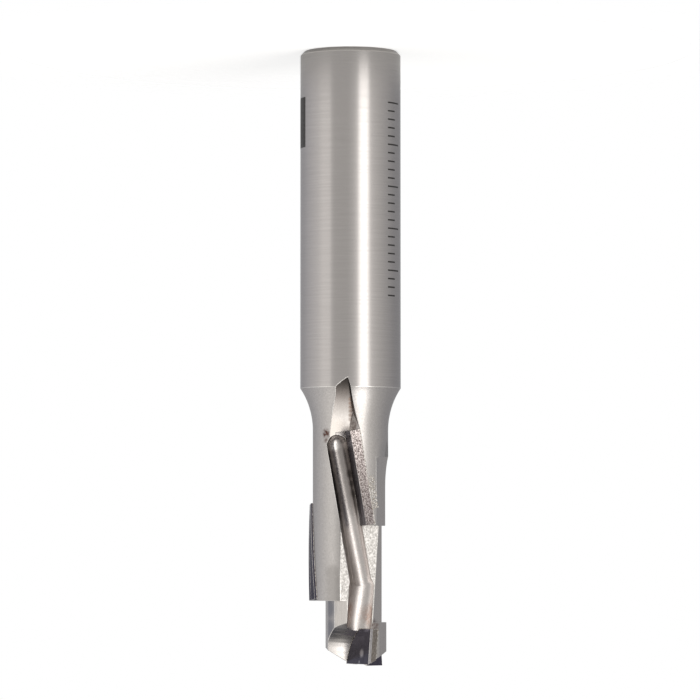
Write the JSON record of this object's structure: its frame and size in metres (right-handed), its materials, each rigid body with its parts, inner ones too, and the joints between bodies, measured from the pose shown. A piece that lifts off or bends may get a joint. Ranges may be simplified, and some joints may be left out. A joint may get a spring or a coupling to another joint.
{
  "type": "router bit",
  "caption": "Straight-shank plunging compression router bit with staggered, brazed diamond cutting segments in milled gullets.",
  "frame": {"origin": "centre of the flat end of the shank, on which the bit stands", "axes": "+Z along the tool axis from the shank end to the cutting tip; -Y is the side of the upper segment, which the picture shows"},
  "size_m": [0.012, 0.012, 0.0735],
  "materials": {
    "steel": "ground shank, milled and glass-blasted cutting body, satin",
    "diamond": "eroded polycrystalline diamond, near black",
    "carbide": "eroded tungsten carbide, fine grain",
    "braze": "silver braze filler, grainy and bright"
  },
  "bodies": {
    "root": {"tool_body": "steel", "diamond_upper": "diamond", "carbide_upper": "carbide", "braze_upper": "braze", "diamond_middle": "diamond", "carbide_middle": "carbide", "braze_middle": "braze", "diamond_lower": "diamond", "carbide_lower": "carbide", "braze_lower": "braze", "diamond_plunge": "diamond", "carbide_plunge": "carbide", "braze_plunge": "braze"}
  },
  "joints": []
}
